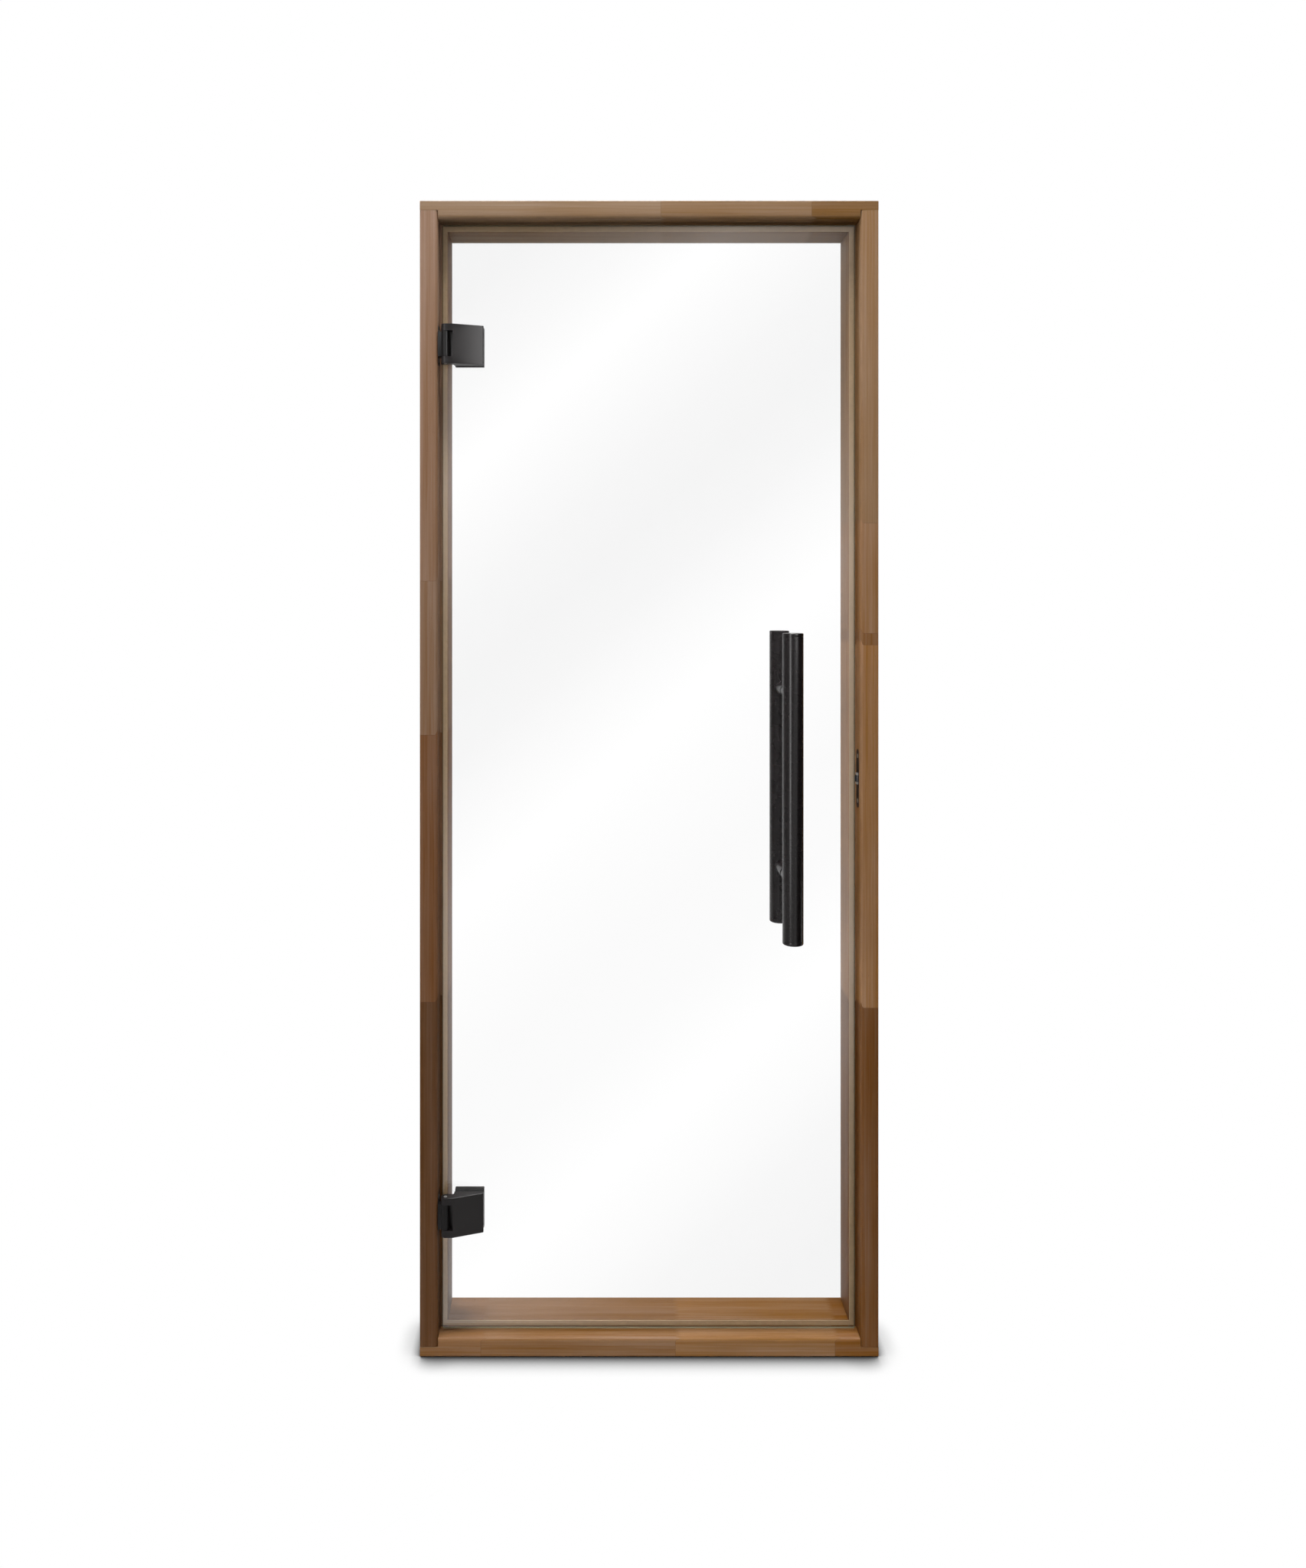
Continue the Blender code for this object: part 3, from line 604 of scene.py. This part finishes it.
# The end of each piece's name, how far its edges are eased in mm, its body, its slot and its finish.
HINGE_PIECES = (
    ("frame_leaf", 0.3, "frame", "dark_metal", oxide_and_shade_coat),
    ("front_body", 0.35, "door_leaf", "dark_metal", hinge_coat),
    ("rear_plate", 0.3, "door_leaf", "dark_metal", hinge_coat),
    ("pin", 0.15, "frame", "bright_steel", zinc),
    ("upper_clamp_screw", 0.15, "door_leaf", "bright_steel", zinc),
    ("lower_clamp_screw", 0.15, "door_leaf", "bright_steel", zinc),
    ("upper_flange_screw", 0.1, "frame", "bright_steel", zinc),
    ("lower_flange_screw", 0.1, "frame", "bright_steel", zinc),
)
CATCH_PIECES = (
    ("face_plate", 0.25, "frame", "dark_metal", oxide_and_shade_coat),
    ("upper_screw", 0.1, "frame", "bright_steel", zinc),
    ("lower_screw", 0.1, "frame", "bright_steel", zinc),
    ("plunger", 0.25, "catch_roller", "bright_steel", zinc),
)
ROLLER_RADIUS = 5 * MM
ROLLER_HALF = 5.5 * MM
AXLE_RADIUS = 1.5 * MM

for prefix, pieces in (
    ("upper_hinge_", HINGE_PIECES), ("lower_hinge_", HINGE_PIECES), ("catch_", CATCH_PIECES)
):
    for name, ease, body, slot, finish in pieces:
        eased_copy(prefix + name, ease * MM, body, finish)
for prefix in ("upper_hinge_", "lower_hinge_"):
    keep_node(prefix + "front_gasket", rubber)
    keep_node(prefix + "rear_gasket", rubber)

low, high = (np.array(corner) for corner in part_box("catch_roller"))
half = (high[2] - low[2]) / 2
barrel = [
    (0, -half), (AXLE_RADIUS, -half), (AXLE_RADIUS, -ROLLER_HALF), (ROLLER_RADIUS, -ROLLER_HALF),
    (ROLLER_RADIUS, ROLLER_HALF), (AXLE_RADIUS, ROLLER_HALF), (AXLE_RADIUS, half), (0, half),
]
rounding = np.array([0, 0.3, 0.2, 0.9, 0.9, 0.2, 0.3, 0]) * MM
roller = turned("catch_roller_turned", eased(barrel, rounding), (low + high) / 2, (0, 0, 1), sides=64)
finish_piece(roller, "catch_roller", "catch_roller", acetal)

# ---------------------------------------------------------------- pull handle

TUBE_WALL = 1.5 * MM
TUBE_EDGE = 0.3 * MM
TUBE_SIDES = 128
CAP_THICKNESS = 6 * MM
CAP_EDGE = 1.6 * MM
SEAT = 0.3 * MM
POST_RADIUS = 10 * MM
POST_SIDES = 64
# How far from the glass a post's plain part ends and its hollow end begins.
POST_PLAIN = 20 * MM
WASHER = 1 * MM
WASHER_EDGE = 0.2 * MM
STUD_HOLE = 4.3 * MM
STUD_DEPTH = 22.3 * MM
SADDLE_ROWS = 10
STUD_EASE = 0.15 * MM


def handle_post(name, foot, reach, side, tube_radius):
    """A post from the washer to the tube, its end hollowed to sit against the tube.

    A point at radius r and angle a is foot + (r cos a, side * d, r sin a). Its distance d from the
    glass comes from the turned profile, and on the hollow end it is
    reach - sqrt(tube_radius^2 - (r cos a)^2), the near side of the tube.
    """
    start = WASHER + SEAT
    corners = [
        (0, STUD_DEPTH), (STUD_HOLE, STUD_DEPTH), (STUD_HOLE, start), (POST_RADIUS, start),
        (POST_RADIUS, POST_PLAIN),
    ]
    profile = eased(corners, np.array([0, 0, 0.3, 0.5, 0]) * MM)
    a = np.linspace(0, 2 * math.pi, POST_SIDES, endpoint=False)
    r = profile[1:, 0][:, None]
    d = np.broadcast_to(profile[1:, 1][:, None], (len(r), POST_SIDES))
    body = np.stack([r * np.cos(a), d, r * np.sin(a)], axis=-1)
    r = POST_RADIUS * np.linspace(1, 0, SADDLE_ROWS, endpoint=False)[:, None]
    x = r * np.cos(a)
    saddle = np.stack([x, reach - np.sqrt(tube_radius ** 2 - x ** 2), r * np.sin(a)], axis=-1)
    poles = np.array([[0, STUD_DEPTH, 0], [0, reach - tube_radius, 0]])
    outwards = np.array([1, side, 1])
    foot = np.asarray(foot)
    return surface(name, foot + np.concatenate([body, saddle]) * outwards, foot + poles * outwards)


for word, side in (("front", -1), ("rear", 1)):
    prefix = "handle_" + word + "_"
    low, high = (np.array(corner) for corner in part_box(prefix + "bar"))
    middle = (low + high) / 2
    radius = (high[0] - low[0]) / 2
    half = (high[2] - low[2]) / 2
    bore = radius - TUBE_WALL
    walls = eased([(bore, -half), (radius, -half), (radius, half), (bore, half)], TUBE_EDGE, closed=True)
    tube = turned(prefix + "tube", walls, middle, (0, 0, 1), closed=True, sides=TUBE_SIDES)
    finish_piece(tube, prefix + "bar", "door_leaf", tube_coat)
    for place, sign in (("top", 1), ("bottom", -1)):
        node = prefix + place + "_cap"
        cap_low, cap_high = (np.array(corner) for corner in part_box(node))
        height = cap_high[2] - cap_low[2]
        outer_end = cap_high[2] if sign > 0 else cap_low[2]
        seat = np.array([middle[0], middle[1], outer_end - sign * CAP_THICKNESS])
        spigot = bore - SEAT
        corners = [
            (0, CAP_THICKNESS - height), (spigot, CAP_THICKNESS - height), (spigot, 0), (radius, 0),
            (radius, CAP_THICKNESS), (0, CAP_THICKNESS),
        ]
        rounding = np.array([0, 0.5, 0.0, 0.35, CAP_EDGE / MM, 0]) * MM
        cap = turned(node + "_turned", eased(corners, rounding), seat, (0, 0, sign), sides=TUBE_SIDES)
        finish_piece(cap, node, "door_leaf", tube_coat)
    for place in ("upper", "lower"):
        node = prefix + place + "_post"
        post_low, post_high = (np.array(corner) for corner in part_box(node))
        glass_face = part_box("glass_pane")[0 if side < 0 else 1][1]
        foot = (middle[0], glass_face, (post_low[2] + post_high[2]) / 2)
        post = handle_post(node + "_saddled", foot, abs(middle[1] - glass_face), side, radius + SEAT)
        finish_piece(post, node, "door_leaf", tube_coat)
        node = prefix + place + "_washer"
        ring = [(STUD_HOLE, SEAT), (POST_RADIUS, SEAT), (POST_RADIUS, WASHER), (STUD_HOLE, WASHER)]
        ring = eased(ring, WASHER_EDGE, closed=True)
        washer = turned(node + "_turned", ring, foot, (0, side, 0), closed=True, sides=POST_SIDES)
        finish_piece(washer, node, "door_leaf", rubber)
for place in ("upper", "lower"):
    eased_copy("handle_" + place + "_stud", STUD_EASE, "door_leaf", zinc)

# ---------------------------------------------------------------- camera

# From the photograph: the lens is level and square to the door, left of its middle, and shifted down.
SENSOR = 36.0
LENS = 25.045
EYE = (-0.109, -1.924, 1.3126)
SHIFT = (0.0428, -0.1211)

lens = bpy.data.cameras.new("camera")
lens.sensor_width = SENSOR
lens.lens = LENS
lens.shift_x, lens.shift_y = SHIFT
lens.clip_start = 0.05
camera = place_object("camera", lens)
camera.location = EYE
camera.rotation_euler = (math.pi / 2, 0, 0)
bpy.context.scene.camera = camera
bpy.context.scene.view_settings.view_transform = "Standard"

# ---------------------------------------------------------------- floor and backdrop

FLOOR_SIZE = 60.0
# The floor lies a hair under the door, and the mat for mirrors a hair over the floor.
FLOOR_Z = -0.5 * MM
MAT_Z = 0.5 * MM
CONTACT_REACH = 0.055
# The share of open sky over a place at which the contact shadow is full, and at which it has gone.
SHADOW_FULL = 0.46
SHADOW_GONE = 0.94
SHADOW_FALL = 1.5
# Beside the frame, from the first of these to the second, the contact shadow is painted thinner, by place
# alone.
BESIDE = (0.392, 0.412)
BESIDE_SHARE = 0.42
# The world's strength as a light. To the eye, in mirrors and through glass it is 1, which is white.
AMBIENT = 0.1


def background_rays(tree):
    """1 where the camera, a mirror or glass looks, and 0 where a surface is being lit."""
    path = add(tree, "ShaderNodeLightPath")
    seen = path.outputs["Is Camera Ray"]
    for kind in ("Is Glossy Ray", "Is Transmission Ray"):
        seen = add(
            tree, "ShaderNodeMath", {0: seen, 1: path.outputs[kind]}, operation="MAXIMUM"
        ).outputs[0]
    direct = add(
        tree, "ShaderNodeMath", {0: path.outputs["Diffuse Depth"], 1: 0.5}, operation="LESS_THAN"
    ).outputs[0]
    return add(tree, "ShaderNodeMath", {0: seen, 1: direct}, operation="MULTIPLY").outputs[0]


def pale_floor():
    """A pale, plain studio floor: white to the eye, with the soft contact shadow of what stands on it.

    Its brightness is 1 - (1 - soft) * filled. Soft is how much of the sky over a place is open, from 0
    to 1, to a power, and filled is how much of the shadow is left there, less beside the frame.
    """
    material, tree, output = new_material("pale_studio_floor")
    near = add(
        tree, "ShaderNodeAmbientOcclusion", {"Distance": CONTACT_REACH}, samples=24, inside=False
    ).outputs["AO"]
    open_share = add(
        tree, "ShaderNodeMapRange", {"Value": near, "From Min": SHADOW_FULL, "From Max": SHADOW_GONE}
    ).outputs[0]
    soft = add(tree, "ShaderNodeMath", {0: open_share, 1: SHADOW_FALL}, operation="POWER").outputs[0]
    place = add(tree, "ShaderNodeTexCoord").outputs["Object"]
    sideways = add(tree, "ShaderNodeSeparateXYZ", {0: place}).outputs["X"]
    sideways = add(tree, "ShaderNodeMath", {0: sideways}, operation="ABSOLUTE").outputs[0]
    share = {"From Min": BESIDE[0], "From Max": BESIDE[1], "To Min": 1.0, "To Max": BESIDE_SHARE}
    filled = add(tree, "ShaderNodeMapRange", {"Value": sideways, **share}).outputs[0]
    dark = add(tree, "ShaderNodeMath", {0: 1.0, 1: soft}, operation="SUBTRACT").outputs[0]
    dark = add(tree, "ShaderNodeMath", {0: dark, 1: filled}, operation="MULTIPLY").outputs[0]
    light = add(tree, "ShaderNodeMath", {0: 1.0, 1: dark}, operation="SUBTRACT").outputs[0]
    white = add(tree, "ShaderNodeEmission", {"Color": WHITE, "Strength": light})
    plain = add(tree, "ShaderNodeBsdfDiffuse", {"Color": linear("e6e4e0")})
    mixed = add(
        tree, "ShaderNodeMixShader", {0: background_rays(tree), 1: plain.outputs[0], 2: white.outputs[0]}
    )
    tree.links.new(mixed.outputs[0], output.inputs["Surface"])
    return material


def stage_card(name, corners, material):
    """A flat sheet of the studio, which isn't part of the door."""
    mesh = bpy.data.meshes.new(name)
    mesh.from_pydata(corners, [], [(0, 1, 2, 3)])
    mesh.materials.append(material)
    made = place_object(name, mesh)
    made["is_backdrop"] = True
    return made


half = FLOOR_SIZE / 2
floor_corners = [
    (-half, -half, FLOOR_Z), (half, -half, FLOOR_Z), (half, half, FLOOR_Z), (-half, half, FLOOR_Z),
]
stage_card("studio_floor", floor_corners, pale_floor())

world = bpy.data.worlds.new("plain_studio")
bpy.context.scene.world = world
world.use_nodes = True
sky = world.node_tree
sky.nodes.clear()
strength = add(
    sky, "ShaderNodeMapRange", {"Value": background_rays(sky), "To Min": AMBIENT, "To Max": 1.0}
).outputs[0]
backdrop = add(sky, "ShaderNodeBackground", {"Color": WHITE, "Strength": strength})
sky_output = add(sky, "ShaderNodeOutputWorld")
sky.links.new(backdrop.outputs[0], sky_output.inputs[0])

# ---------------------------------------------------------------- what the glass and the metal mirror

SCREEN_Y = -3.2
SCREEN_LEFT = -2.6
SCREEN_RIGHT = 2.8
SCREEN_TOP = 4.6
# The side cards run back to here, and the mat up to here, just before the door.
SIDES_Y = 1.5
MAT_END_Y = -0.05
# The camera's place, mirrored in the pane's front.
MIRRORED_EYE_Y = 1.866
BAND_SLANT = -0.9
# Along the slant: how bright the bands on the screen are, at these heights where X is 0.
BANDS = (
    (-2.6, 0.0), (-2.1, 0.3), (-1.8, 0.75), (-1.35, 1.2), (-0.8, 0.7), (-0.35, 0.65), (0.18, 0.95),
    (0.5, 1.2), (0.89, 0.65), (1.17, 0.2), (1.5, 0.03), (1.85, 0.25), (2.1, 0.6), (2.5, 1.2),
    (2.88, 0.5), (3.3, 0.0),
)
# A colour ramp ends at 1, so the levels are divided by this and multiplied again.
BAND_TOP = 1.25
# Each upright card: the two places on the floor that it stands between, its foot and its top, its
# material, its brightness, and whether it shows through the pane. The first two darken the edges of the
# round metal, the bright ones put a sheen on the hinges and a line on the front tube, and the last greys
# what the metal mirrors from behind.
CARDS = {
    "right_dark_card": (
        (SCREEN_RIGHT, SCREEN_Y), (SCREEN_RIGHT, SIDES_Y), 0, SCREEN_TOP, "dark_studio_card", 0.02, True
    ),
    "left_grey_card": (
        (SCREEN_LEFT, SCREEN_Y), (SCREEN_LEFT, SIDES_Y), 0, SCREEN_TOP, "grey_studio_card", 0.35, True
    ),
    "hinge_card": ((1.15, -2.9), (2.75, -2.6), 1.65, 4.4, "bright_studio_card", 15.0, False),
    "tube_strip": ((-1.62, -1.93), (-1.14, -2.32), 0, 2.6, "bright_studio_strip", 8.0, False),
    "back_card": ((-3.5, 2.0), (3.5, 2.0), 0, 4.0, "grey_back_card", 0.7, True),
}


def only_in_mirrors(tree, output, brightness, through_glass=True):
    """Shows this much light to rays that a mirror has turned, and is clear to all others.

    A small bright card that would only speckle what stands behind the pane isn't shown through it.
    """
    path = add(tree, "ShaderNodeLightPath")
    mirrored = add(
        tree, "ShaderNodeMath", {0: path.outputs["Glossy Depth"], 1: 0.5}, operation="GREATER_THAN"
    ).outputs[0]
    if not through_glass:
        refracted = path.outputs["Is Transmission Ray"]
        mirrored = add(
            tree, "ShaderNodeMath", {0: mirrored, 1: refracted}, operation="SUBTRACT"
        ).outputs[0]
        mirrored = add(tree, "ShaderNodeMath", {0: mirrored, 1: 0.0}, operation="MAXIMUM").outputs[0]
    clear = add(tree, "ShaderNodeBsdfTransparent")
    light = add(tree, "ShaderNodeEmission", {"Color": WHITE, "Strength": brightness})
    mixed = add(tree, "ShaderNodeMixShader", {0: mirrored, 1: clear.outputs[0], 2: light.outputs[0]})
    tree.links.new(mixed.outputs[0], output.inputs["Surface"])


def bands(tree, x, z):
    """The screen's soft diagonal bands at a place on it."""
    slant = add(tree, "ShaderNodeMath", {0: x, 1: BAND_SLANT, 2: z}, operation="MULTIPLY_ADD").outputs[0]
    first, last = BANDS[0][0], BANDS[-1][0]
    share = add(
        tree, "ShaderNodeMapRange", {"Value": slant, "From Min": first, "From Max": last}
    ).outputs[0]
    stops = []
    for height, level in BANDS:
        level /= BAND_TOP
        stops.append(((height - first) / (last - first), (level, level, level, 1)))
    ramp = add(tree, "ShaderNodeValToRGB", {0: share}, stops=stops).outputs[0]
    return add(tree, "ShaderNodeMath", {0: ramp, 1: BAND_TOP}, operation="MULTIPLY").outputs[0]


def banded_screen():
    """A studio screen before the door, with soft diagonal bands of light."""
    material, tree, output = new_material("banded_studio_screen")
    place = add(tree, "ShaderNodeTexCoord").outputs["Object"]
    axes = add(tree, "ShaderNodeSeparateXYZ", {0: place})
    only_in_mirrors(tree, output, bands(tree, axes.outputs["X"], axes.outputs["Z"]))
    return material


def banded_mat():
    """The floor in front of the door, which carries the screen's bands on.

    A place on the floor is carried on to the screen's plane along the line from the mirrored eye: its
    X and height there are eye + (place - eye) * w, where w = (eye's Y - screen's Y) / (eye's Y - Y).
    """
    material, tree, output = new_material("banded_studio_mat")
    eye_x, _, eye_z = EYE
    place = add(tree, "ShaderNodeTexCoord").outputs["Object"]
    axes = add(tree, "ShaderNodeSeparateXYZ", {0: place})
    away = add(
        tree, "ShaderNodeMath", {0: MIRRORED_EYE_Y, 1: axes.outputs["Y"]}, operation="SUBTRACT"
    ).outputs[0]
    w = add(
        tree, "ShaderNodeMath", {0: MIRRORED_EYE_Y - SCREEN_Y, 1: away}, operation="DIVIDE"
    ).outputs[0]
    x = add(tree, "ShaderNodeMath", {0: axes.outputs["X"], 1: eye_x}, operation="SUBTRACT").outputs[0]
    x = add(tree, "ShaderNodeMath", {0: x, 1: w, 2: eye_x}, operation="MULTIPLY_ADD").outputs[0]
    z = add(tree, "ShaderNodeMath", {0: w, 1: -eye_z, 2: eye_z}, operation="MULTIPLY_ADD").outputs[0]
    only_in_mirrors(tree, output, bands(tree, x, z))
    return material


def plain_card(name, brightness, through_glass):
    """A studio card of one brightness."""
    material, tree, output = new_material(name)
    only_in_mirrors(tree, output, brightness, through_glass)
    return material


def mirror_card(name, corners, material):
    """A flat card that the eye, the lamps and the lit surfaces don't meet."""
    made = stage_card(name, corners, material)
    made.visible_camera = False
    made.visible_diffuse = False
    made.visible_shadow = False


def standing(first, second, low, high):
    """The corners of an upright card between two places on the floor."""
    return [(*first, low), (*second, low), (*second, high), (*first, high)]


screen_ends = ((SCREEN_LEFT, SCREEN_Y), (SCREEN_RIGHT, SCREEN_Y))
mirror_card("studio_screen", standing(*screen_ends, 0, SCREEN_TOP), banded_screen())
mat_corners = [
    (SCREEN_LEFT, SCREEN_Y, MAT_Z), (SCREEN_RIGHT, SCREEN_Y, MAT_Z),
    (SCREEN_RIGHT, MAT_END_Y, MAT_Z), (SCREEN_LEFT, MAT_END_Y, MAT_Z),
]
mirror_card("studio_mat", mat_corners, banded_mat())
for name, (first, second, foot, top, finish, brightness, through_glass) in CARDS.items():
    mirror_card(name, standing(first, second, foot, top), plain_card(finish, brightness, through_glass))

# ---------------------------------------------------------------- lamps

# Each softbox: its place, its target, its width and height, its watts, the spread of its light in
# degrees, and whether gloss and glass mirror it.
SOFTBOXES = {
    "overhead_softbox": ((0.1, -1.25, 3.5), (0, 0, 1.9), 1.8, 1.2, 4, 90, True),
    "key_softbox": ((-1.45, -1.95, 2.9), (-0.2, 0, 1.7), 0.9, 0.9, 7, 110, True),
    "front_softbox": ((1.0, -4.4, 1.9), (0, 0, 1.2), 2.4, 1.8, 38, 180, True),
    "down_softbox": ((0, -0.45, 3.7), (0, -0.1, 0), 1.4, 0.5, 19, 60, True),
    "left_softbox": ((-2.6, -0.95, 1.9), (0.35, 0, 1.3), 0.8, 1.8, 12, 110, False),
    "rear_softbox": ((-1.7, 2.1, 2.6), (0, 0, 1.0), 1.2, 1.2, 7, 180, True),
}


def softbox(name, place, target, width, height, watts, spread, mirrored):
    """A rectangular softbox, turned to its target, with a grid that holds its light to a spread."""
    light = bpy.data.lights.new(name, "AREA")
    light.shape = "RECTANGLE"
    light.size = width
    light.size_y = height
    light.energy = watts
    light.spread = math.radians(spread)
    lamp = place_object(name, light)
    away = np.asarray(target, float) - np.asarray(place, float)
    lamp.location = place
    lamp.rotation_euler = (
        math.acos(-away[2] / np.linalg.norm(away)), 0, math.atan2(away[1], away[0]) - math.pi / 2
    )
    lamp.visible_camera = False
    lamp.visible_transmission = False
    lamp.visible_glossy = mirrored


for name, settings in SOFTBOXES.items():
    softbox(name, *settings)

low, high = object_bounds()
